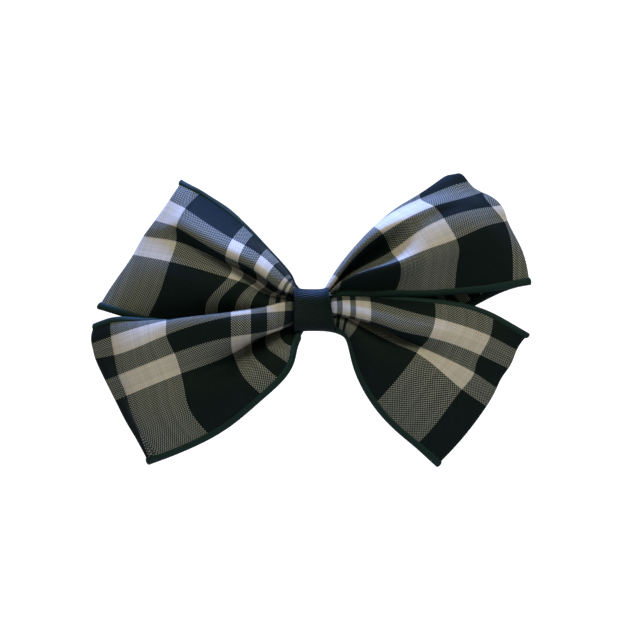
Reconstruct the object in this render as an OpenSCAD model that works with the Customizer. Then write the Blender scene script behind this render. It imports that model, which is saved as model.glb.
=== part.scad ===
// Plaid hair bow with four ribbon loops, a ribbed centre wrap and a spring barrette.
// Frame: origin in the middle of the barrette's hair gap, +X along the bow,
// +Z up as worn, and the face of the bow looks along -Y. Units are millimetres.

/* [Bow] */
// Width of the bow across the tips of the loops
bow_span = 110; // [100:1:120]
// Thickness of a loop's cloth wall
cloth_t = 0.8; // [0.6:0.1:1]
// Radius of the corded edging along the ribbon's edges
edging_r = 0.75; // [0.5:0.05:0.8]

/* [Centre wrap] */
// Width of the ribbed ribbon round the waist
wrap_w = 9.5; // [8:0.1:10]
// Height of the wrapped waist
wrap_h = 11.2; // [10.8:0.1:12]
// Thickness of the wrap
wrap_t = 0.6; // [0.4:0.1:0.7]

/* [Barrette] */
// Radius of the curved base plate
base_r = 110; // [100:5:130]
// Width of the base plate
base_w = 8; // [7.4:0.1:8.4]
// Thickness of the base plate
base_t = 0.6; // [0.5:0.05:0.8]
// Radius of the gently curved arm
arm_r = 300; // [260:10:400]
// Width of the arm
arm_w = 5.6; // [5:0.1:6]
// Height of the gap that the hair passes through
hair_gap = 4.7; // [4.4:0.1:5]
// Radius of the hinge pin
pin_r = 0.65; // [0.5:0.05:0.7]

/* [Hidden] */

k = bow_span / 110;             // scale of the loops' outlines
along = 10;                     // steps from a loop's waist to its fold
across = 8;                     // steps across the ribbon
tube_sides = 8;
edging_start = 0.05;            // share of a loop's length where its edging starts, clear of the wrap
corner_steps = 6;               // steps round a corner of the waist's outlines

// Depths, measured along Y: the face of the bow is towards -Y.
base_y = -hair_gap / 2 - 4.3;   // hair side of the base plate at the middle
base_front = base_y - base_t;
glue_t = 0.35;
waist_back = base_front - glue_t;
waist_front = -17;
wrap_back = base_y + 0.15;
waist_mid = (waist_front + waist_back) / 2 - 0.4;
waist_half = 2.7;               // half depth of a loop where it leaves the waist
arm_y = hair_gap / 2;           // bow side of the arm at the middle

// One record for each loop, as [x, z] outlines in the bow's plane.
// 0 waist top, 1 top edge's control point, 2 top corner,
// 3 waist bottom, 4 bottom edge's control point, 5 bottom corner,
// 6 how far the fold bows outwards, 7 how far the face puffs forwards,
// 8 how far the back hangs down, 9 depth of the fold, 10 forward shift at mid length
UPPER_LEFT = [[-4.7, 4], [-15, 23.9], [-33, 31.8],
              [-4.7, 2.4], [-28, -1.5], [-53, 1.2], 0, 6, 1.5, -12, 0];
LOWER_LEFT = [[-4.7, 0.4], [-26, -3.2], [-54.3, -4.4],
              [-4.7, -4], [-7.8, -27], [-40.4, -37.8], 0.6, 6, 0, -13.5, 2.2];
UPPER_RIGHT = [[4.7, 4], [15, 24], [35.4, 33.6],
               [4.7, 2.8], [30, 4.2], [53.6, 6.8], 3, 6, 5, -12, 0];
LOWER_RIGHT = [[4.7, 0.8], [29.2, 4.4], [53.6, -7],
               [4.7, -4], [8.6, -18.6], [30.8, -38.2], 1.5, 6, 0, -13.5, 2.2];

function mix(a, b, s) = a * (1 - s) + b * s;
function bend(a, b, c, s) = pow(1 - s, 2) * a + 2 * s * (1 - s) * b + s * s * c;
function unit(v) = v / norm(v);

// A point of the loop's outline in the bow's plane: s from waist to fold, t across.
function fold_out(p) =
    let (f = unit(p[5] - p[2]), n = [f[1], -f[0]])
    n * p[6] * sign(p[2][0] * n[0] + p[2][1] * n[1]);
function plan(p, s, t) =
    mix(bend(p[0], p[1], p[2], s), bend(p[3], p[4], p[5], s), t)
    + fold_out(p) * s * s * 4 * t * (1 - t);
// Half depth of the loop, round at the fold and fullest half way along.
function puff(p, s, t, front) =
    (waist_half + (front ? p[7] : 1.2) * sin(180 * s) * (0.25 + 3 * t * (1 - t)))
    * sqrt(max(0, 1 - pow(s, 6)));
function axis_y(p, s) = mix(waist_mid, p[9], s) - p[10] * sin(180 * s);
function wall(p, s, t, front, inset) =
    let (
        q = plan(p, s * (inset > 0 ? 0.97 : 1), t),
        h = max(0, puff(p, s, t, front) - inset),
        hang = front ? 0 : p[8] * sin(180 * s) * s * t,
        side = p[0][0]
    )
    [side + k * (q[0] - side), axis_y(p, s) + (front ? -h : h), k * (q[1] - hang)];
// One closed section of the cloth: along the outside of the loop, back along the inside.
function section(p, t) = [
    for (i = [0 : along]) wall(p, i / along, t, true, 0),
    for (i = [along - 1 : -1 : 0]) wall(p, i / along, t, false, 0),
    for (i = [0 : along]) wall(p, i / along, t, false, cloth_t),
    for (i = [along - 1 : -1 : 0]) wall(p, i / along, t, true, cloth_t)
];
function grid_faces(rows, ring) = [
    for (r = [0 : rows - 2], i = [0 : ring - 1])
        let (j = (i + 1) % ring, a = r * ring + i, b = r * ring + j, c = a + ring, d = b + ring)
        each [[a, b, d], [a, d, c]]
];
// The two ends of the cloth, each a strip between the outer and the inner line.
function strip_faces(start, ring, flip) = [
    for (i = [0 : ring / 2 - 2])
        let (a = start + i, b = a + 1, c = start + ring - 1 - i, d = c - 1)
        each flip ? [[a, b, d], [a, d, c]] : [[b, a, d], [d, a, c]]
];

module loop(p) {
    ring = 2 * (2 * along + 1);
    rows = across + 1;
    points = [for (r = [0 : across]) each section(p, r / across)];
    faces = concat(grid_faces(rows, ring), strip_faces(0, ring, false),
        strip_faces((rows - 1) * ring, ring, true));
    mirrored = p[2][0] > 0;
    polyhedron(points, mirrored ? faces : [for (f = faces) [f[2], f[1], f[0]]], convexity = 6);
}

// A round tube along a path; across is a direction that the path never follows.
function ring_at(path, i, r, side) =
    let (
        last = len(path) - 1,
        along_path = unit(path[min(i + 1, last)] - path[max(i - 1, 0)]),
        u = unit(cross(along_path, side)),
        v = cross(along_path, u)
    )
    [for (a = [0 : tube_sides - 1])
        path[i] + r * (cos(360 * a / tube_sides) * u + sin(360 * a / tube_sides) * v)];

module tube(path, r, side) {
    n = len(path);
    points = [for (i = [0 : n - 1]) each ring_at(path, i, r, side)];
    first = [for (a = [0 : tube_sides - 1]) a];
    last = [for (a = [tube_sides - 1 : -1 : 0]) (n - 1) * tube_sides + a];
    faces = [for (f = grid_faces(n, tube_sides)) [f[2], f[1], f[0]]];
    polyhedron(points, concat(faces, [first, last]), convexity = 6);
}

// The edging runs round the loop's edge, a little outside the cloth.
module edging(p, t) {
    run = [
        for (i = [0 : along]) wall(p, max(edging_start, i / along), t, true, cloth_t / 2),
        for (i = [along - 1 : -1 : 0]) wall(p, max(edging_start, i / along), t, false, cloth_t / 2)
    ];
    edge = unit(p[5] - p[2]);
    tube(run, edging_r, [edge[0], 0, edge[1]]);
}

module upper_left_loop() { color([0.16, 0.2, 0.17]) loop(UPPER_LEFT); }
module lower_left_loop() { color([0.16, 0.2, 0.17]) loop(LOWER_LEFT); }
module upper_right_loop() { color([0.16, 0.2, 0.17]) loop(UPPER_RIGHT); }
module lower_right_loop() { color([0.16, 0.2, 0.17]) loop(LOWER_RIGHT); }
module upper_left_top_edging() { color([0.05, 0.14, 0.11]) edging(UPPER_LEFT, 0); }
module upper_left_bottom_edging() { color([0.05, 0.14, 0.11]) edging(UPPER_LEFT, 1); }
module lower_left_top_edging() { color([0.05, 0.14, 0.11]) edging(LOWER_LEFT, 0); }
module lower_left_bottom_edging() { color([0.05, 0.14, 0.11]) edging(LOWER_LEFT, 1); }
module upper_right_top_edging() { color([0.05, 0.14, 0.11]) edging(UPPER_RIGHT, 0); }
module upper_right_bottom_edging() { color([0.05, 0.14, 0.11]) edging(UPPER_RIGHT, 1); }
module lower_right_top_edging() { color([0.05, 0.14, 0.11]) edging(LOWER_RIGHT, 0); }
module lower_right_bottom_edging() { color([0.05, 0.14, 0.11]) edging(LOWER_RIGHT, 1); }

// A four-cornered outline in [y, z] with a radius for each corner, for parts along X.
function rounded(corners, radii) = [
    for (i = [0 : 3])
        let (
            c = corners[i],
            a = radii[i] * unit(corners[(i + 3) % 4] - c),
            b = radii[i] * unit(corners[(i + 1) % 4] - c)
        )
        for (j = [0 : corner_steps]) bend(c + a, c, c + b, j / corner_steps)
];
// Half height of the space inside the wrap, which narrows from the face to the base plate.
function wrap_half(y) =
    mix(wrap_h / 2 - wrap_t, base_w / 2 + 0.3, (y - waist_front) / (wrap_back - waist_front));
// Corners of a shape inside the wrap in [y, z], kept clear of it by gap.
function waist_corners(front, back, gap) =
    let (f = wrap_half(front) - gap, b = wrap_half(back) - gap)
    [[front, -f], [back, -b], [back, b], [front, f]];

module along_x(width) {
    rotate([90, 0, 90])
        translate([0, 0, -width / 2])
            linear_extrude(width) children();
}

// The ribbons' gathered middles, with a groove for each pleat.
module pleated_waist() {
    pleats = 5;
    groove = [3, 0.3];
    front = waist_front + 0.25;
    half = wrap_half(front);
    color([0.2, 0.23, 0.2])
        along_x(wrap_w - 0.2)
            difference() {
                polygon(rounded(waist_corners(front, waist_back - 0.05, 0.15), [1.9, 0.3, 0.3, 1.9]));
                for (i = [1 : pleats - 1])
                    translate([waist_front, (2 * i / pleats - 1) * half - groove[1] / 2]) square(groove);
            }
}

// Three turns of thread that bind the pleats, sunk in the cloth.
module gathering_thread() {
    thread_d = 0.4;
    front = waist_front + 0.35;
    back = waist_back - 0.15;
    color([0.04, 0.1, 0.08])
        for (turn = [-1 : 1])
            translate([turn * 1.2, 0, 0])
                along_x(thread_d)
                    difference() {
                        polygon(rounded(waist_corners(front, back, 0.25), [1.9, 0.5, 0.5, 1.9]));
                        polygon(rounded(waist_corners(front + thread_d, back - thread_d, 0.25 + thread_d),
                            [1.6, 0.3, 0.3, 1.6]));
                    }
}

// The ribbed ribbon round the waist and the base plate.
module center_wrap() {
    color([0.05, 0.15, 0.16])
        along_x(wrap_w)
            difference() {
                polygon(rounded(waist_corners(waist_front - wrap_t, wrap_back + wrap_t, -wrap_t),
                    [2.2, 0.9, 0.9, 2.2]));
                polygon(rounded(waist_corners(waist_front, wrap_back, 0), [1.7, 0.4, 0.4, 1.7]));
            }
}

module glue_pad() {
    color([0.85, 0.83, 0.75])
        translate([-wrap_w / 2 + 0.5, base_front - glue_t, -3])
            cube([wrap_w - 1, glue_t - 0.02, 6]);
}

// ---- barrette ----
land_x = 22;                    // where the base plate's flat ends begin
arc_steps = 16;                 // steps from the middle of an arc to a land
land_y = base_y + land_x * land_x / (2 * base_r);
end_x = 31.5;
hinge_x = -28.5;
hinge_y = 3.9;
lug_t = 0.6;
lug_in = arm_w / 2 + 0.5;
barrel_r = 1.35;
spring_t = 0.3;
spring_w = 4.4;
spring_x = 20.5;                // where the tension spring's ends are held
spring_rise = -hair_gap / 2 - spring_t - (land_y + 0.35);
spring_r = (spring_x * spring_x + spring_rise * spring_rise) / (2 * spring_rise);
tip_y = arm_y + land_x * land_x / (2 * arm_r);
arm_t = 0.7;
clasp_x = 27.4;
prong_t = 0.6;
prong_in = 1.75;                // inner face of a prong, from the middle
barb_reach = 0.65;              // how far a barb stands out from its prong
slot_half_w = 2.5;
slot_half_l = 2.9;
steel = [0.75, 0.76, 0.78];

// A gentle arc of radius r through the middle at y, as points from one land to the other.
function arc_line(y, r) = [
    for (i = [-arc_steps : arc_steps])
        let (x = land_x * i / arc_steps)
        [x, y + x * x / (2 * r)]
];
// A plate across Z whose lower side follows a line of [x, y] points.
module plate(line, thick, width) {
    upper = [for (i = [len(line) - 1 : -1 : 0]) line[i] + [0, thick]];
    translate([0, 0, -width / 2])
        linear_extrude(width) polygon(concat(line, upper));
}

module hinge_lug(z) {
    translate([0, 0, z])
        linear_extrude(lug_t)
            difference() {
                union() {
                    translate([hinge_x, hinge_y]) circle(r = 1.9, $fn = 48);
                    polygon([[hinge_x - 1.9, land_y - 0.3], [hinge_x - 1.9, hinge_y],
                        [hinge_x + 1.9, hinge_y], [hinge_x + 4, land_y - 0.3]]);
                }
                translate([hinge_x, hinge_y]) circle(r = pin_r, $fn = 48);
            }
}

module barrette_base() {
    color(steel)
        difference() {
            union() {
                plate(concat([[-end_x, land_y - base_t]], arc_line(base_front, base_r),
                    [[end_x, land_y - base_t]]), base_t, base_w);
                hinge_lug(lug_in);
                hinge_lug(-lug_in - lug_t);
                // Staples that hold the ends of the tension spring.
                for (side = [-1, 1])
                    translate([side * (spring_x + 0.9) - 0.5, land_y - 0.3, -spring_w / 2 - 0.9]) {
                        cube([1, 1.1, 0.6]);
                        translate([0, 0, spring_w + 1.2]) cube([1, 1.1, 0.6]);
                        translate([0, 0.8, 0]) cube([1, 0.4, spring_w + 1.8]);
                    }
            }
            // Stitching holes in the flat ends.
            for (x = [-end_x + 1.3, end_x - 1.4])
                for (z = [-2.4, 2.4])
                    translate([x, land_y - 1.5, z])
                        rotate([-90, 0, 0]) cylinder(r = 0.6, h = 3, $fn = 32);
        }
}

// Thin strip that bows from the base towards the arm and presses on the hair.
module tension_spring() {
    color([0.68, 0.69, 0.72])
        union() {
            intersection() {
                translate([0, -hair_gap / 2 - spring_r, -spring_w / 2])
                    difference() {
                        cylinder(r = spring_r, h = spring_w, $fn = 180);
                        translate([0, 0, -1])
                            cylinder(r = spring_r - spring_t, h = spring_w + 2, $fn = 180);
                    }
                translate([-spring_x, land_y + 0.04, -spring_w / 2]) cube([2 * spring_x, 10, spring_w]);
            }
            for (side = [-1, 1])
                translate([side > 0 ? spring_x - 1 : -spring_x - 1.6, land_y + 0.05, -spring_w / 2])
                    cube([2.6, spring_t, spring_w]);
        }
}

module clasp_bracket() {
    color(steel)
        union() {
            translate([clasp_x - 2.6, land_y + 0.02, -prong_in - prong_t - 0.3])
                cube([5.2, 0.5, 2 * (prong_in + prong_t + 0.3)]);
            translate([clasp_x, land_y + 0.3, 0])
                rotate([-90, 0, 0]) cylinder(r = 0.9, h = 0.6, $fn = 32);
        }
}

// One sprung side of the clasp: a stem, a barb over the arm's rail and a finger tab.
module clasp_prong(side) {
    foot = land_y + 0.62;
    barb_y = tip_y + arm_t + 0.08;
    color(steel)
        mirror([0, 0, side > 0 ? 0 : 1]) {
            translate([0, 0, prong_in])
                linear_extrude(prong_t)
                    union() {
                        translate([clasp_x - 1.8, foot]) square([3.6, 9.5 - foot - 2.4]);
                        translate([clasp_x, 7.2]) circle(r = 2.5, $fn = 48);
                    }
            translate([clasp_x - 1.4, barb_y, prong_in + prong_t - 0.05])
                rotate([90, 0, 90])
                    linear_extrude(2.8)
                        polygon([[0, 0], [0, 0.7], [barb_reach - 0.1, 0.1], [barb_reach, 0]]);
        }
}

module upper_clasp_prong() { clasp_prong(1); }
module lower_clasp_prong() { clasp_prong(-1); }

module hinge_pin() {
    reach = lug_in + lug_t;
    color([0.6, 0.61, 0.63])
        translate([hinge_x, hinge_y, 0]) {
            translate([0, 0, -reach - 0.1]) cylinder(r = pin_r - 0.02, h = 2 * reach + 0.2, $fn = 48);
            for (side = [-1, 1])
                translate([0, 0, side > 0 ? reach + 0.05 : -reach - 0.55])
                    cylinder(r = 1.15, h = 0.5, $fn = 48);
        }
}

// The arm that closes over the hair: barrel, curved strip and slotted tip.
module barrette_arm() {
    tip_w = arm_w + 2;
    tip_x = clasp_x + slot_half_l + 0.9;
    color(steel)
        difference() {
            union() {
                translate([hinge_x, hinge_y, -arm_w / 2]) cylinder(r = barrel_r, h = arm_w, $fn = 48);
                plate(concat([[hinge_x, hinge_y - arm_t / 2]], arc_line(arm_y, arm_r),
                    [[tip_x, tip_y]]), arm_t, arm_w);
                translate([land_x, tip_y, -tip_w / 2]) cube([tip_x - land_x, arm_t, tip_w]);
            }
            translate([hinge_x, hinge_y, -arm_w]) cylinder(r = pin_r + 0.04, h = 2 * arm_w, $fn = 48);
            translate([clasp_x - slot_half_l, tip_y - 1, -slot_half_w])
                cube([2 * slot_half_l, 3, 2 * slot_half_w]);
        }
}

upper_left_loop();
lower_left_loop();
upper_right_loop();
lower_right_loop();
upper_left_top_edging();
upper_left_bottom_edging();
lower_left_top_edging();
lower_left_bottom_edging();
upper_right_top_edging();
upper_right_bottom_edging();
lower_right_top_edging();
lower_right_bottom_edging();
pleated_waist();
gathering_thread();
center_wrap();
glue_pad();
barrette_base();
tension_spring();
clasp_bracket();
hinge_pin();
barrette_arm();
upper_clasp_prong();
lower_clasp_prong();
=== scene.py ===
"""Looks of the plaid hair bow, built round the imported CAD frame.

Lengths are in mm, apart from those of the lights, the camera and the bumps, which are in metres.
"""
import math

import bmesh
import bpy
import numpy as np
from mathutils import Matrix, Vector


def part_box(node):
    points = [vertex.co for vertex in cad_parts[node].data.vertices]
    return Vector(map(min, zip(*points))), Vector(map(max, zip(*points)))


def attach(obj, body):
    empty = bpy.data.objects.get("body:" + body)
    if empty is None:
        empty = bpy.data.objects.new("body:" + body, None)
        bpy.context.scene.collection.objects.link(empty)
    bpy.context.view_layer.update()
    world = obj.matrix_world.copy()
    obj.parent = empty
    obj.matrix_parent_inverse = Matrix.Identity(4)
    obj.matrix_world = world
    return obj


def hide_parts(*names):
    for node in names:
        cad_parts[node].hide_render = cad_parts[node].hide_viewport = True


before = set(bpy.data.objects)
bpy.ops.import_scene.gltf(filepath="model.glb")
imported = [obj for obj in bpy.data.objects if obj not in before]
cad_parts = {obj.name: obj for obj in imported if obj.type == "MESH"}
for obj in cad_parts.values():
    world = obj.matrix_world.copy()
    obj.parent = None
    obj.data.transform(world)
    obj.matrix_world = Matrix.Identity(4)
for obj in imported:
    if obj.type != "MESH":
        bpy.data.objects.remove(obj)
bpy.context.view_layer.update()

MM = 0.001
RIBBON_W = 38.5                 # width of the plaid ribbon
CLOTH_T = 0.35                  # thickness of its cloth
THREAD = 0.3                    # spacing of the weave's threads
UV_SPAN = 128.0                 # mm of ribbon that the plaid's colour bands cover
FOLD_RADIUS = 1.0               # how sharply a loop turns at its fold
FOLD_TAKES = 6                  # length of ribbon that the turn takes up
BACK_PLEAT = 1.2                # how far the back layer's pleats rise, next to the wrap
BACK_DRAWN_IN = 1.3             # how far the wrap draws the back layer forwards
EDGING_HALF_THICK = 0.55        # of the cord along a ribbon's edge, front to back
EDGING_PITCH = 0.45             # of the thread wound round it
WRAP_RIB_PITCH = 0.58
WRAP_RIB_DEPTH = 0.14
WRAP_RIB_SLANT = 0.21           # how far a rib climbs for each mm across the wrap
WRAP_FLARE = 0.55               # how far the wrap's edges stand off its middle
WRAP_SUNK = 0.2                 # how far its middle is drawn in
WRAP_LEAN = 0.9                 # how far its right edge leans, at the top and the bottom
WRAP_THICK = 0.5

# Dark and light bands across the ribbon, by their edges, starting dark at the top edge.
WARP_EDGES = [6, 11.25, 16.5, 21.75]

# ---- the loops' cloth -------------------------------------------------------------------
# A loop is laid out on its own ribbon. rows are lines along the ribbon, by their distance
# from its top edge. Each line's points are (x, z, y), from inside the wrap to the fold.
# at is each point's distance along the ribbon from the wrap, and fold_at the fold's distance
# on each line. weft holds the edges of the bands across the ribbon, and weft_light says if
# the first one is light. back is the depth of the hidden layer, and hang how far that
# layer hangs down at its lower edge (less than zero if it is drawn up).
LOOPS = {
    "upper_left": dict(
        at=[-3, 0, 6.75, 14.5, 22, 36.25], fold_at=[41.5, 43, 44, 44.5, 45, 46, 48, 49.5],
        back=-9.4, hang=0.5,
        weft=[2, 3.5, 5, 6.75, 10.75, 14.5, 18.25, 22, 36.25, 51.5, 66.5, 70.5, 74.5, 78.5],
        weft_light=False,
        rows={
            0: [(-2, 3.5, -12), (-4.5, 6, -13), (-5.5, 8.5, -14), (-11.5, 15.5, -13.5),
                (-17, 21.5, -13), (-27.5, 29.5, -12), (-33, 32.5, -11)],
            6: [(-2, 3, -13), (-4.5, 5.5, -15.5), (-7, 8, -19), (-13, 13.5, -20.5),
                (-20, 17.5, -20), (-31.5, 25, -17), (-36, 27.5, -14)],
            11.25: [(-2, 2.5, -13.5), (-5, 4, -16), (-8.5, 5.5, -20), (-14.5, 10, -22),
                    (-21.5, 13.5, -22), (-33.5, 20.5, -18.5), (-39.5, 22.5, -14)],
            14: [(-2, 2, -13), (-5, 3.5, -14.5), (-8.5, 5, -17), (-14, 9, -18),
                 (-21.5, 12, -18.5), (-33.5, 19, -17.5), (-41, 20.5, -14)],
            16.5: [(-2, 2, -12.5), (-5, 3, -13.5), (-9.5, 4.5, -15.5), (-14, 7.5, -16.5),
                   (-20.5, 11, -17.5), (-33.5, 17, -17), (-42.5, 18.5, -13.5)],
            21.75: [(-2, 1.5, -12), (-5, 2.5, -14), (-10.5, 3.5, -17), (-15.5, 6, -19),
                    (-21, 8, -20.5), (-35, 12, -18), (-45, 14, -13.5)],
            30: [(-2, 1, -12), (-5, 1, -15.5), (-11, 0.5, -19), (-19, 2, -20),
                 (-26, 2.5, -20), (-37.5, 4.5, -17.5), (-49.5, 7.5, -13)],
            38.5: [(-2, 0.5, -11.5), (-5, -0.5, -13), (-11, -2.5, -14), (-19, -3, -15),
                   (-26.5, -3.5, -15.5), (-41.5, -3, -14.5), (-54, 0.5, -12.5)],
        }),
    "lower_left": dict(
        at=[-3, 0, 6.25, 15, 28.5, 43.5],
        fold_at=[49.5, 49, 48.5, 48, 47.5, 46.5, 46, 46, 45.5, 44.5],
        back=-11.6, hang=-3,
        weft=[1.75, 6.25, 10.5, 15, 28.5, 43.5, 58.5, 73.5, 77.5, 81.5, 85.5],
        weft_light=False,
        rows={
            0: [(-2, 1, -12), (-4.5, 1, -14), (-11, 0.5, -15), (-19.5, -1, -16),
                (-36, -3, -19), (-50, -2, -17.5), (-54.5, -3.5, -14.5)],
            5: [(-2, 1, -13), (-5, 2, -16), (-11, 1, -21), (-20, -0.5, -23),
                (-36, -2.5, -21.7), (-50, -5.5, -18.7), (-55.5, -7.5, -15)],
            8: [(-2, 0.5, -13.5), (-5, 1.5, -16.5), (-11, 0.5, -22.5), (-20, -1, -24.5),
                (-36, -3.5, -22.6), (-49.5, -8.5, -19.2), (-55, -10, -15)],
            11.25: [(-2, 0, -13.5), (-5, 0, -16.5), (-11, -0.5, -23), (-20, -1.5, -25),
                    (-36, -6, -23), (-49, -11, -19.5), (-54.5, -12, -15)],
            16.5: [(-2, -1, -13.5), (-5.5, -3, -16.5), (-11, -5, -22.5), (-20, -6.5, -24.5),
                   (-34, -10.5, -22.5), (-48, -16, -19.5), (-52, -17.5, -15)],
            21.75: [(-2, -2, -12), (-6, -4, -12.5), (-11.5, -6, -13.5), (-20, -10.5, -18.5),
                    (-32.5, -15.5, -21), (-46, -21, -19), (-49.5, -22.5, -15)],
            24: [(-2, -2.5, -12), (-6, -4.5, -12), (-11.5, -6.5, -12.5), (-19.5, -12, -17),
                 (-32, -17.5, -21), (-45.5, -23, -19), (-48.5, -24.5, -15)],
            27: [(-2, -2.5, -12.5), (-6, -5.5, -13.5), (-11.5, -8.5, -16), (-18.5, -14, -19.5),
                 (-31.5, -20, -21.5), (-44.5, -26, -19), (-47, -27.5, -15)],
            31: [(-2, -3, -12.5), (-5, -7, -15.5), (-9.5, -10.5, -19), (-17, -16.5, -22),
                 (-30.5, -24, -21.5), (-43, -29.5, -18.5), (-45, -31, -14.5)],
            38.5: [(-2, -4, -12), (-3.5, -6.5, -15), (-5, -13.5, -18), (-12, -21.5, -19),
                   (-25, -31.5, -18), (-38.5, -37.5, -16), (-41, -38.5, -14)],
        }),
    "upper_right": dict(
        at=[-3, 0, 8, 16.5, 23, 31.25, 41], fold_at=[43, 43.5, 44.5, 46, 48, 48.5, 47, 48.5, 50.5],
        back=-9.4, hang=5.5,
        weft=[1.5, 16.5, 31.25, 45.5, 53, 57, 58.75, 61, 62.75, 65, 66.75, 79.5, 83.5, 87.5],
        weft_light=True,
        rows={
            0: [(2, 3.5, -12), (4, 5.5, -12), (8, 12, -11.5), (14.5, 18.5, -11.5),
                (19.5, 22.5, -11.5), (26, 27, -11.5), (31.5, 30.8, -12), (34, 32.2, -12)],
            2.5: [(2, 3.5, -12.5), (4, 6, -12.5), (8.5, 13, -13), (15, 19.5, -13.5),
                  (20, 24.5, -14.5), (26.5, 28.8, -15.5), (33, 33.4, -14.5), (36.5, 34.3, -13)],
            6: [(2, 3, -12.5), (4, 7, -13.5), (9, 14, -15), (15, 20.5, -16),
                (20, 24.3, -16.5), (26.5, 27.5, -17), (35, 31, -16), (39, 32.2, -13.5)],
            11.25: [(2, 2.5, -13), (5, 6.5, -16), (10.5, 13.5, -20), (17, 19, -21.5),
                    (23, 22.5, -21.5), (29.5, 25.5, -20.5), (37.5, 27.8, -17.5), (42.5, 29.5, -13.5)],
            14: [(2, 2, -12.5), (5, 6, -12.5), (11, 12, -14), (18.5, 17, -16.5),
                 (24.5, 21, -21), (31, 24, -20.5), (39.5, 26.5, -18), (45.2, 28.2, -13.5)],
            16.5: [(2, 2, -13), (5.5, 6, -13.5), (12, 10.5, -15.5), (19.5, 14.5, -18),
                   (25.5, 19, -21.5), (32, 22.5, -21), (40.5, 25, -18.5), (47.3, 26.2, -13.5)],
            21.75: [(2, 1.5, -13.5), (5.5, 5.5, -16.5), (13, 9.5, -22), (21, 12, -23.5),
                    (28, 15, -22.5), (35, 17.5, -21.5), (43, 21, -18.5), (48.8, 22.5, -13.5)],
            30: [(2, 1, -13), (5, 4.5, -15), (13, 6.5, -19), (21.5, 8, -20.5),
                 (28.5, 10, -20.5), (35.5, 12, -19.5), (45, 13.5, -17), (52.5, 15, -13.5)],
            38.5: [(2, 0.5, -12), (4.5, 3.2, -15), (12, 3.2, -17), (20, 3.5, -17.5),
                   (27.5, 3.5, -17), (35, 4, -15.5), (45.5, 5, -14.5), (54.5, 6.5, -12.5)],
        }),
    "lower_right": dict(
        at=[-3, 0, 10.25, 18, 26, 40], fold_at=[49, 48.5, 48.5, 48.5, 48, 48, 47.5, 47],
        back=-11.6, hang=-1,
        weft=[1.5, 3, 4.75, 6.25, 10.25, 26, 40, 55, 70, 74, 78, 82],
        weft_light=True,
        rows={
            0: [(2, 1, -12), (4.5, 3, -14), (14, 3, -16), (22, 3, -17),
                (30, 2.5, -17), (45, -1, -16), (54, -6, -14)],
            6: [(2, 1, -13), (4.7, 2, -16), (14, 2, -20), (22, 0, -21.5),
                (30, -2, -21.5), (44, -6.5, -18), (51, -10, -14.5)],
            11.25: [(2, 0, -13.5), (4.7, -0.5, -16.3), (14, -2.5, -22.5), (21.5, -5, -24),
                    (28.5, -6.5, -23), (41.5, -11, -18.5), (49, -14.5, -14.5)],
            13.5: [(2, -0.5, -13), (4.5, -1, -16), (13.5, -3, -19), (21, -6, -21),
                   (27.5, -8, -21.5), (40.5, -13, -18.5), (47.5, -16.5, -14.5)],
            16.5: [(2, -1, -12.5), (4.5, -1, -14), (12.5, -2, -16), (20.5, -6, -18),
                   (26.5, -9, -20), (40, -15.5, -18.5), (46, -19.5, -14.5)],
            21.75: [(2, -2, -12.5), (5, -1.5, -15), (11, -3.5, -18), (19.5, -8, -20),
                    (25.5, -10.5, -21.5), (37, -19.5, -19), (43.5, -24, -14.5)],
            30: [(2, -3, -12.5), (5, -3.5, -15.5), (9.5, -6, -19.5), (14.5, -12.5, -21.5),
                 (20.5, -17, -22), (31, -27.5, -19), (37.5, -32, -14.5)],
            38.5: [(2, -4, -12), (5, -5.3, -14.5), (8.5, -7.5, -17), (10.5, -15, -18),
                   (15, -23.5, -17.5), (25.5, -34, -16), (31, -39, -14)],
        }),
}


def natural_spline(knots, values, at):
    """Smooth curve through values at knots, sampled at the numbers in at."""
    h = np.diff(knots)
    n = len(knots)
    left = np.eye(n)
    right = np.zeros(values.shape)
    slope = np.diff(values, axis=0) / h.reshape(-1, *[1] * (values.ndim - 1))
    for i in range(1, n - 1):
        left[i, i - 1:i + 2] = h[i - 1], 2 * (h[i - 1] + h[i]), h[i]
        right[i] = 6 * (slope[i] - slope[i - 1])
    bend = np.linalg.solve(left, right.reshape(n, -1)).reshape(values.shape)
    k = np.clip(np.searchsorted(knots, at, side="right") - 1, 0, n - 2)
    shape = (-1,) + (1,) * (values.ndim - 1)
    step = h[k].reshape(shape)
    a = ((knots[k + 1] - at) / h[k]).reshape(shape)
    b = 1 - a
    curved = ((a ** 3 - a) * bend[k] + (b ** 3 - b) * bend[k + 1]) * step ** 2 / 6
    return a * values[k] + b * values[k + 1] + curved


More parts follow.
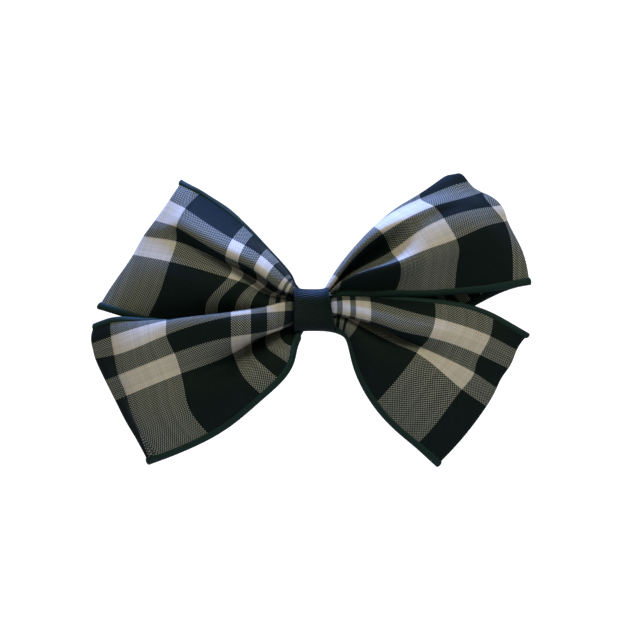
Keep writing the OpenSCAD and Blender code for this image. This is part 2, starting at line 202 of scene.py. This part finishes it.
def loop_net(loop):
    """Control points of a loop's whole ribbon: (rows, columns, 5) of x, y, z, along, across."""
    across = np.array(sorted(loop["rows"]), float)
    front = np.array([[(x, y, z) for x, z, y in loop["rows"][v]] for v in sorted(loop["rows"])])
    rows = []
    for i, v in enumerate(across):
        share = v / RIBBON_W
        fold_u = loop["fold_at"][i]
        fold = front[i, -1]
        along = fold - front[i, -2]
        along[1] = 0
        along /= np.linalg.norm(along)
        into_fold = fold + (0, -0.7 * FOLD_RADIUS, 0) - along * FOLD_RADIUS
        out_of_fold = fold + (0, 1.2 * FOLD_RADIUS, 0) - 2 * along * FOLD_RADIUS
        line = [(*p, u, v) for p, u in zip(front[i, :-1], loop["at"])]
        line.append((*into_fold, fold_u - 1.2, v))
        line.append((*fold, fold_u, v))
        line.append((*out_of_fold, fold_u + 2.2, v))
        # Two pleats cross the back layer, and grow towards the wrap.
        pleat = BACK_PLEAT * math.cos(4 * math.pi * share)
        last = len(loop["at"]) - 1
        for c in range(last - 1, -1, -1):
            near_wrap = 1 - c / last
            top, bottom = front[0, c], front[-1, c]
            p = top * (1 - share) + bottom * share
            p[1] = loop["back"] - BACK_DRAWN_IN * near_wrap ** 3 + math.sqrt(near_wrap) * pleat
            p[2] -= loop["hang"] * share * min(1, 1.5 * (1 - near_wrap))
            line.append((*p, fold_u + loop["at"][last] - loop["at"][c] + FOLD_TAKES, v))
        rows.append(line)
    return across, np.array(rows)


def loop_surface(loop, along_steps=190, across_steps=84):
    """Even grid of (x, y, z, along, across) over a loop's ribbon."""
    across, net = loop_net(loop)
    gaps = np.linalg.norm(np.diff(net[:, :, :3], axis=1), axis=2).mean(axis=0)
    knots = np.concatenate([[0], np.cumsum(gaps)])
    s = np.linspace(0, knots[-1], along_steps)
    lines = natural_spline(knots, net.transpose(1, 0, 2), s)
    v = np.linspace(0, RIBBON_W, across_steps)
    return natural_spline(across, lines.transpose(1, 0, 2), v)


def smoothed(grid, rounds):
    """Takes small kinks out of the cloth, and leaves its border where it is."""
    g = grid.copy()
    for _ in range(rounds):
        mean = (g[:-2, 1:-1] + g[2:, 1:-1] + g[1:-1, :-2] + g[1:-1, 2:]) / 4
        g[1:-1, 1:-1, :3] = mean[..., :3] * 0.5 + g[1:-1, 1:-1, :3] * 0.5
    return g


def mesh_object(name, points, faces, uv=None):
    """A smooth-shaded object from points in mm. uv is the cloth's map, in mm along and across."""
    me = bpy.data.meshes.new(name)
    me.from_pydata([tuple(p) for p in np.asarray(points) * MM], [], faces)
    if uv is not None:
        layer = me.uv_layers.new(name="cloth")
        corner = np.empty(len(me.loops), int)
        me.loops.foreach_get("vertex_index", corner)
        layer.data.foreach_set("uv", np.asarray(uv, np.float32)[corner].ravel())
    me.polygons.foreach_set("use_smooth", [True] * len(me.polygons))
    me.update()
    ob = bpy.data.objects.new(name, me)
    bpy.context.scene.collection.objects.link(ob)
    return ob


def facing_out(ob):
    """Turns a closed mesh's faces outwards."""
    bm = bmesh.new()
    bm.from_mesh(ob.data)
    bmesh.ops.recalc_face_normals(bm, faces=bm.faces)
    bm.to_mesh(ob.data)
    bm.free()
    return ob


def grid_faces(rows, cols, ring=False):
    """Quads between the rows of a grid of points. In a ring, the last column joins the first."""
    faces = []
    for r in range(rows - 1):
        for c in range(cols if ring else cols - 1):
            here, beside = r * cols + c, r * cols + (c + 1) % cols
            faces.append((here, beside, beside + cols, here + cols))
    return faces


# ---- node materials ---------------------------------------------------------------------
class Nodes:
    """Short calls for building one material's nodes."""

    def __init__(self, name):
        self.material = bpy.data.materials.new(name)
        self.material.use_nodes = True
        self.tree = self.material.node_tree
        self.shader = next(n for n in self.tree.nodes if n.type == "BSDF_PRINCIPLED")

    def new(self, kind, **settings):
        node = self.tree.nodes.new(kind)
        for key, value in settings.items():
            setattr(node, key, value)
        return node

    def put(self, socket, value):
        if isinstance(value, bpy.types.NodeSocket):
            self.tree.links.new(value, socket)
        else:
            socket.default_value = value

    def math(self, operation, *values):
        node = self.new("ShaderNodeMath", operation=operation)
        for i, value in enumerate(values):
            self.put(node.inputs[i], value)
        return node.outputs[0]

    def mix(self, factor, a, b, blend="MIX"):
        node = self.new("ShaderNodeMix", data_type="RGBA", blend_type=blend)
        for name, value in ((0, factor), (6, a), (7, b)):
            self.put(node.inputs[name], value)
        return node.outputs[2]

    def noise(self, scale, detail=3.0):
        node = self.new("ShaderNodeTexNoise")
        node.inputs["Scale"].default_value = scale
        node.inputs["Detail"].default_value = detail
        self.put(node.inputs["Vector"], self.new("ShaderNodeTexCoord").outputs["Object"])
        return node.outputs["Fac"]

    def random(self, number):
        """A random value from 0 to 1 for each whole number."""
        node = self.new("ShaderNodeTexWhiteNoise", noise_dimensions="1D")
        self.put(node.inputs["W"], number)
        return node.outputs["Value"]

    def bands(self, factor, edges, first_light):
        """0 on dark bands and 1 on light ones, by the bands' edges in mm."""
        ramp = self.new("ShaderNodeValToRGB")
        ramp.color_ramp.interpolation = "CONSTANT"
        light = first_light
        ramp.color_ramp.elements[0].color = (light,) * 3 + (1,)
        ramp.color_ramp.elements.remove(ramp.color_ramp.elements[1])
        for edge in edges:
            light = not light
            stop = ramp.color_ramp.elements.new(edge / UV_SPAN)
            stop.color = (light,) * 3 + (1,)
        self.put(ramp.inputs["Fac"], self.math("DIVIDE", factor, UV_SPAN))
        return ramp.outputs["Color"]

    def bump(self, height, distance, strength):
        node = self.new("ShaderNodeBump")
        node.inputs["Strength"].default_value = strength
        node.inputs["Distance"].default_value = distance
        self.put(node.inputs["Height"], height)
        self.put(self.shader.inputs["Normal"], node.outputs["Normal"])


def grey(value):
    return (value, value, value, 1)


CREAM = (0.45, 0.41, 0.305, 1)
MIXED = (0.41, 0.42, 0.31, 1)      # cream thread among dark ones
NAVY_GREEN = (0.003, 0.0062, 0.0044, 1)
NAVY_GREEN_PALER = (0.005, 0.0100, 0.0072, 1)
EDGE_GREEN = (0.005, 0.015, 0.010, 1)
EDGE_GREEN_PALER = (0.008, 0.025, 0.017, 1)
WRAP_TEAL = (0.0012, 0.0055, 0.0036, 1)
WRAP_TEAL_PALER = (0.0025, 0.0095, 0.0065, 1)


def plaid_material(name, weft_edges, weft_light):
    """Plain weave of dark and cream threads. The UV map holds mm along and across the ribbon."""
    n = Nodes(name)
    uv = n.new("ShaderNodeUVMap", uv_map="cloth")
    split = n.new("ShaderNodeSeparateXYZ")
    n.put(split.inputs[0], uv.outputs["UV"])
    along, across = split.outputs[0], split.outputs[1]
    weft_i = n.math("FLOOR", n.math("DIVIDE", along, THREAD))
    warp_i = n.math("FLOOR", n.math("DIVIDE", across, THREAD))
    weft_mid = n.math("MULTIPLY", n.math("ADD", weft_i, 0.5), THREAD)
    warp_mid = n.math("MULTIPLY", n.math("ADD", warp_i, 0.5), THREAD)
    weft = n.bands(weft_mid, weft_edges, weft_light)
    warp = n.bands(warp_mid, WARP_EDGES, False)
    turn = n.math("FLOORED_MODULO", n.math("ADD", weft_i, warp_i), 2.0)
    warp_over = n.math("LESS_THAN", turn, 0.5)
    light = n.mix(warp_over, weft, warp)
    unlike = n.math("ABSOLUTE", n.math("SUBTRACT", weft, warp))
    # Each thread is a ridge. The gaps beside it are darkened with painted shade, most of all between unlike
    # threads.
    ridge_a = n.math("ABSOLUTE", n.math("SINE", n.math("MULTIPLY", along, math.pi / THREAD)))
    ridge_b = n.math("ABSOLUTE", n.math("SINE", n.math("MULTIPLY", across, math.pi / THREAD)))
    ridge = n.mix(warp_over, ridge_a, ridge_b)
    gap = n.math("SUBTRACT", 1.0, ridge)
    depth = n.math("MULTIPLY_ADD", unlike, 0.5, 0.12)
    # A light thread between dark ones is partly in their shade.
    lit = n.math("MULTIPLY_ADD", unlike, -0.32, 1.0)
    shade = n.math("SUBTRACT", lit, n.math("MULTIPLY", gap, depth))
    slub = n.noise(900.0, 2.0)
    # No two threads are dyed quite alike.
    tone = n.mix(warp_over, n.random(weft_i), n.random(n.math("ADD", warp_i, 1000.0)))
    tone = n.math("MULTIPLY_ADD", tone, 0.3, 0.85)
    cream = n.mix(unlike, CREAM, MIXED)
    # Painted shade from the thread gaps and from dark neighbours, together with each thread's dye tone,
    # darkens the cream.
    cream = n.mix(1.0, cream, n.math("MULTIPLY", shade, tone), "MULTIPLY")
    dark = n.mix(slub, NAVY_GREEN, NAVY_GREEN_PALER)
    n.put(n.shader.inputs["Base Color"], n.mix(light, dark, cream))
    n.shader.inputs["Roughness"].default_value = 0.6
    n.shader.inputs["Specular IOR Level"].default_value = 0.05
    n.shader.inputs["Sheen Weight"].default_value = 0.02
    n.shader.inputs["Sheen Roughness"].default_value = 0.4
    n.shader.inputs["Sheen Tint"].default_value = (0.35, 0.55, 1, 1)
    # The cloth itself is a little uneven under its threads.
    n.bump(n.math("MULTIPLY_ADD", n.noise(110.0, 2.0), 8.0, ridge), 0.00006, 0.6)
    return n.material


def thread_material(name, colour, paler, rough=0.6):
    n = Nodes(name)
    n.put(n.shader.inputs["Base Color"], n.mix(n.noise(1400.0), colour, paler))
    n.shader.inputs["Roughness"].default_value = rough
    n.shader.inputs["Specular IOR Level"].default_value = 0.08
    n.shader.inputs["Sheen Weight"].default_value = 0.015
    n.shader.inputs["Sheen Roughness"].default_value = 0.4
    n.shader.inputs["Sheen Tint"].default_value = (0.4, 0.65, 1, 1)
    n.bump(n.noise(6000.0, 2.0), 0.00003, 0.5)
    return n.material


def steel_material(name, colour, rough):
    n = Nodes(name)
    n.put(n.shader.inputs["Base Color"], n.mix(n.noise(150.0), colour, (0.38, 0.38, 0.40, 1)))
    n.shader.inputs["Metallic"].default_value = 1.0
    worn = n.math("MULTIPLY", n.noise(250.0, 5.0), 0.2)
    n.put(n.shader.inputs["Roughness"], n.math("ADD", worn, rough))
    n.bump(n.noise(400.0, 3.0), 0.00001, 0.3)
    return n.material


def glue_material():
    n = Nodes("set_glue")
    glue = n.mix(n.noise(500.0), (0.72, 0.68, 0.56, 1), (0.6, 0.56, 0.45, 1))
    n.put(n.shader.inputs["Base Color"], glue)
    n.shader.inputs["Roughness"].default_value = 0.35
    n.bump(n.noise(800.0), 0.0001, 0.5)
    return n.material


EDGING = thread_material("edging_thread", EDGE_GREEN, EDGE_GREEN_PALER)
WRAP = thread_material("wrap_ribbon", WRAP_TEAL, WRAP_TEAL_PALER, 0.5)


# ---- pieces -----------------------------------------------------------------------------
def declare(ob, node_names):
    """Puts a piece of the bow on the bow's body, and hides the CAD nodes that it stands for."""
    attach(ob, "bow")
    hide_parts(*node_names)
    return ob


def wound_cord(name, path, side, half_wide, half_thick, pitch, ribs=0.09, sides=12):
    """A cord with thread wound round it: path and side are arrays of points and directions."""
    gaps = np.linalg.norm(np.diff(path, axis=0), axis=1)
    run = np.concatenate([[0], np.cumsum(gaps)])
    n = int(run[-1] / (pitch / 5))
    s = np.linspace(0, run[-1], n)
    centre = np.stack([np.interp(s, run, path[:, i]) for i in range(3)], 1)
    wide = np.stack([np.interp(s, run, side[:, i]) for i in range(3)], 1)
    tangent = np.gradient(centre, axis=0)
    tangent /= np.linalg.norm(tangent, axis=1)[:, None]
    wide -= tangent * (wide * tangent).sum(1)[:, None]
    wide /= np.linalg.norm(wide, axis=1)[:, None]
    thick = np.cross(tangent, wide)
    a = np.linspace(0, 2 * math.pi, sides, endpoint=False)
    wave = 1 + ribs * (np.abs(np.sin(math.pi * s[:, None] / pitch + a[None] / 2)) - 0.5)
    points = (centre[:, None]
              + wide[:, None] * (np.cos(a)[None] * half_wide * wave)[..., None]
              + thick[:, None] * (np.sin(a)[None] * half_thick * wave)[..., None])
    faces = grid_faces(n, sides, ring=True)
    faces += [tuple(range(sides))[::-1], tuple((n - 1) * sides + i for i in range(sides))]
    return facing_out(mesh_object(name, points.reshape(-1, 3), faces))


def build_loop(name):
    """One loop's cloth, with a cord along each of its two edges."""
    loop = LOOPS[name]
    grid = smoothed(loop_surface(loop), 6)
    rows, cols = grid.shape[:2]
    ob = mesh_object(name + "_cloth", grid[..., :3].reshape(-1, 3), grid_faces(rows, cols),
                     grid[..., 3:].reshape(-1, 2))
    solid = ob.modifiers.new("thickness", "SOLIDIFY")
    solid.thickness = CLOTH_T * MM
    solid.offset = 0
    ob.data.materials.append(plaid_material("plaid_" + name, loop["weft"], loop["weft_light"]))
    declare(ob, [name + "_loop"])
    for side, edge, inner, half_wide in (("top", 0, 4, 0.8), ("bottom", rows - 1, rows - 5, 1.0)):
        inward = grid[inner, :, :3] - grid[edge, :, :3]
        inward /= np.linalg.norm(inward, axis=1)[:, None]
        path = grid[edge, :, :3] + inward * half_wide * 0.8
        cord = wound_cord(f"{name}_{side}_merrow", path, inward,
                          half_wide, EDGING_HALF_THICK, EDGING_PITCH)
        cord.data.materials.append(EDGING)
        declare(cord, [f"{name}_{side}_edging"])


def rounded_outline(corners, radii, steps=10):
    """A closed outline with each corner replaced by a curve that starts a radius before it."""
    out = []
    count = len(corners)
    for i in range(count):
        c = np.array(corners[i], float)
        before = np.array(corners[i - 1], float) - c
        after = np.array(corners[(i + 1) % count], float) - c
        a = c + radii[i] * before / np.linalg.norm(before)
        b = c + radii[i] * after / np.linalg.norm(after)
        for t in np.linspace(0, 1, steps):
            out.append((1 - t) ** 2 * a + 2 * t * (1 - t) * c + t * t * b)
    return np.array(out)


def build_wrap():
    """The ribbed ribbon round the waist: its ribs slant, its edges flare, its right edge leans."""
    low, high = (np.array(v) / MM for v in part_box("center_wrap"))
    taper = 0.55
    corners = [(low[1], low[2]), (high[1], low[2] + taper), (high[1], high[2] - taper), (low[1], high[2])]
    outline = rounded_outline(corners, [3.6, 0.9, 0.9, 3.6])
    closed = np.vstack([outline, outline[:1]])
    run = np.concatenate([[0], np.cumsum(np.linalg.norm(np.diff(closed, axis=0), axis=1))])
    rib_count = round(run[-1] / WRAP_RIB_PITCH)
    rib = run[-1] / rib_count
    n = rib_count * 8
    s = np.arange(n) / n * run[-1]
    line = np.stack([np.interp(s, run, closed[:, i]) for i in range(2)], 1)
    out = np.roll(line, -1, 0) - np.roll(line, 1, 0)
    out = np.stack([out[:, 1], -out[:, 0]], 1) / np.linalg.norm(out, axis=1)[:, None]
    half_width = (high[0] - low[0]) / 2
    xs = np.linspace(low[0], high[0], 25)
    rings = []
    for inner in (False, True):
        for x in xs[::-1] if inner else xs:
            lift = np.full(n, WRAP_FLARE * (abs(x) / half_width) ** 3 - WRAP_SUNK)
            if inner:
                lift -= WRAP_THICK
            else:
                lift += WRAP_RIB_DEPTH * np.abs(np.sin(math.pi * (s + WRAP_RIB_SLANT * x) / rib))
            y_z = line + out * lift[:, None]
            lean = -WRAP_LEAN * max(0, x / high[0]) * y_z[:, 1] / high[2]
            rings.append(np.column_stack([x + lean, y_z]))
    faces = grid_faces(len(rings), n, ring=True)
    last = (len(rings) - 1) * n
    faces += [(last + c, last + (c + 1) % n, (c + 1) % n, c) for c in range(n)]
    ob = facing_out(mesh_object("center_wrap_ribbon", np.concatenate(rings), faces))
    ob.data.materials.append(WRAP)
    declare(ob, ["center_wrap"])


def build_waist():
    """Pleats of the ribbons' middles, folded to and fro inside the wrap."""
    low, high = (np.array(v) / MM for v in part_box("pleated_waist"))
    pleats, steps = 6, 90
    z = np.linspace(low[2] + 0.4, high[2] - 0.4, steps)
    wave = 0.6 * np.cos((z - z[0]) / (z[-1] - z[0]) * 2 * math.pi * pleats)
    front = np.column_stack([low[1] + 1.0 + wave, z])
    back = np.column_stack([np.full(steps, high[1] - 0.4), z[::-1] * 0.85])
    outline = np.vstack([front, back])
    xs = np.linspace(low[0], high[0], 12)
    points = np.concatenate([np.column_stack([np.full(len(outline), x), outline]) for x in xs])
    n = len(outline)
    faces = grid_faces(len(xs), n, ring=True)
    faces += [tuple(range(n))[::-1], tuple((len(xs) - 1) * n + i for i in range(n))]
    uv = np.concatenate([np.column_stack([np.full(n, x + 5), np.arange(n) * 0.2]) for x in xs])
    ob = facing_out(mesh_object("waist_pleats", points, faces, uv))
    ob.data.materials.append(plaid_material("plaid_waist", [4, 8], False))
    declare(ob, ["pleated_waist"])


def build_thread():
    """Three turns of thread that gather the waist."""
    low, high = (np.array(v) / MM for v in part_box("gathering_thread"))
    taper = 0.5
    corners = [(low[1], low[2]), (high[1], low[2] + taper), (high[1], high[2] - taper), (low[1], high[2])]
    outline = rounded_outline(corners, [1.6] * 4)
    outline = np.vstack([outline, outline[:2]])
    for i, x in enumerate((-1.2, 0, 1.2)):
        path = np.column_stack([np.full(len(outline), x), outline])
        side = np.tile([1.0, 0, 0], (len(path), 1))
        ob = wound_cord(f"gathering_turn_{i + 1}", path, side, 0.2, 0.2, 0.5, 0.2, 8)
        ob.data.materials.append(EDGING)
        declare(ob, ["gathering_thread"])


def build_glue():
    """A set pad of glue with an uneven outline."""
    low, high = (np.array(v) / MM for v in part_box("glue_pad"))
    bm = bmesh.new()
    bmesh.ops.create_cube(bm, size=1)
    bmesh.ops.subdivide_edges(bm, edges=bm.edges, cuts=6, use_grid_fill=True)
    for v in bm.verts:
        p = np.array(v.co) * 2
        reach = 1 - 0.06 * (math.sin(5 * p[0] + 1) + math.sin(7 * p[2])) - 0.05 * abs(p[0] * p[2])
        v.co = Vector(((low + high) / 2 + p * (high - low) / 2 * (reach, 0.95, reach)) * MM)
    me = bpy.data.meshes.new("glue")
    bm.to_mesh(me)
    bm.free()
    me.polygons.foreach_set("use_smooth", [True] * len(me.polygons))
    ob = bpy.data.objects.new("set_glue", me)
    bpy.context.scene.collection.objects.link(ob)
    ob.data.materials.append(glue_material())
    declare(ob, ["glue_pad"])


def finish_metal():
    """The barrette keeps its CAD shape, with softened edges and plated finishes."""
    steels = {
        "plated_steel": steel_material("plated_steel", (0.48, 0.48, 0.50, 1), 0.14),
        "spring_steel": steel_material("spring_steel", (0.42, 0.42, 0.45, 1), 0.24),
    }
    for name in ("barrette_base", "clasp_bracket", "hinge_pin", "barrette_arm",
                 "upper_clasp_prong", "lower_clasp_prong", "tension_spring"):
        slot_name = "spring_steel" if name == "tension_spring" else "plated_steel"
        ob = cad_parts[name]
        ob.data.materials.clear()
        ob.data.materials.append(steels[slot_name])
        bevel = ob.modifiers.new("soft_edges", "BEVEL")
        bevel.width = 0.06 * MM
        bevel.segments = 2
        bevel.limit_method = "ANGLE"


# ---- stage ------------------------------------------------------------------------------
SKY_BLUE = (0.17, 0.31, 1.0)
WARM_WHITE = (1.0, 0.95, 0.86)


def studio_material(name, colour, paler, glow):
    n = Nodes(name)
    n.put(n.shader.inputs["Base Color"], n.mix(n.noise(3.0), colour, paler))
    n.shader.inputs["Roughness"].default_value = 0.9
    n.shader.inputs["Specular IOR Level"].default_value = 0.1
    n.shader.inputs["Emission Color"].default_value = (1, 1, 1, 1)
    n.shader.inputs["Emission Strength"].default_value = glow
    return n.material


def build_stage():
    """A pale floor well below the bow, and a bright backdrop far behind it."""
    floor_z, far, side, top = -400, 1600, 2500, 2200
    pale = studio_material("pale_floor", (0.74, 0.70, 0.58, 1), (0.77, 0.73, 0.61, 1), 0)
    bright = studio_material("bright_backdrop", grey(0.70), grey(0.73), 0.8)
    on_floor = [(-side, -side, floor_z), (side, -side, floor_z), (side, far, floor_z), (-side, far, floor_z)]
    upright = [(-side, far, floor_z), (side, far, floor_z), (side, far, top), (-side, far, top)]
    floor = mesh_object("studio_floor", on_floor, [(0, 1, 2, 3)])
    floor.data.materials.append(pale)
    backdrop = mesh_object("studio_backdrop", upright, [(0, 1, 2, 3)])
    backdrop.data.materials.append(bright)


def area_light(name, place, target, size, power, colour):
    """A round light, with its place and size in metres and its power in watts."""
    data = bpy.data.lights.new(name, "AREA")
    data.shape = "DISK"
    data.size = size
    data.energy = power
    data.color = colour
    ob = bpy.data.objects.new(name, data)
    bpy.context.scene.collection.objects.link(ob)
    ob.location = place
    ob.rotation_euler = (Vector(target) - Vector(place)).to_track_quat("-Z", "Y").to_euler()


def build_lights():
    centre = (0, -0.015, 0)
    area_light("sky_from_above", (-0.03, 0.005, 0.42), centre, 0.12, 9.0, SKY_BLUE)
    area_light("front_fill", (0.2, -0.65, 0.65), centre, 0.3, 4.6, WARM_WHITE)
    world = bpy.data.worlds.new("studio_air")
    world.use_nodes = True
    air = world.node_tree.nodes["Background"]
    air.inputs["Color"].default_value = (1, 1, 1, 1)
    air.inputs["Strength"].default_value = 0.4
    bpy.context.scene.world = world
    bpy.context.scene.view_settings.view_transform = "Standard"


def build_camera():
    """Straight on to the bow's face, as in the photograph."""
    data = bpy.data.cameras.new("camera")
    data.lens = 104
    data.sensor_width = 36
    ob = bpy.data.objects.new("camera", data)
    bpy.context.scene.collection.objects.link(ob)
    ob.location = (-0.0001, -0.4655, -0.0006)
    ob.rotation_euler = (math.radians(90), 0, 0)
    bpy.context.scene.camera = ob


build_camera()
build_wrap()
for loop_name in LOOPS:
    build_loop(loop_name)
build_waist()
build_thread()
build_glue()
finish_metal()
build_stage()
build_lights()
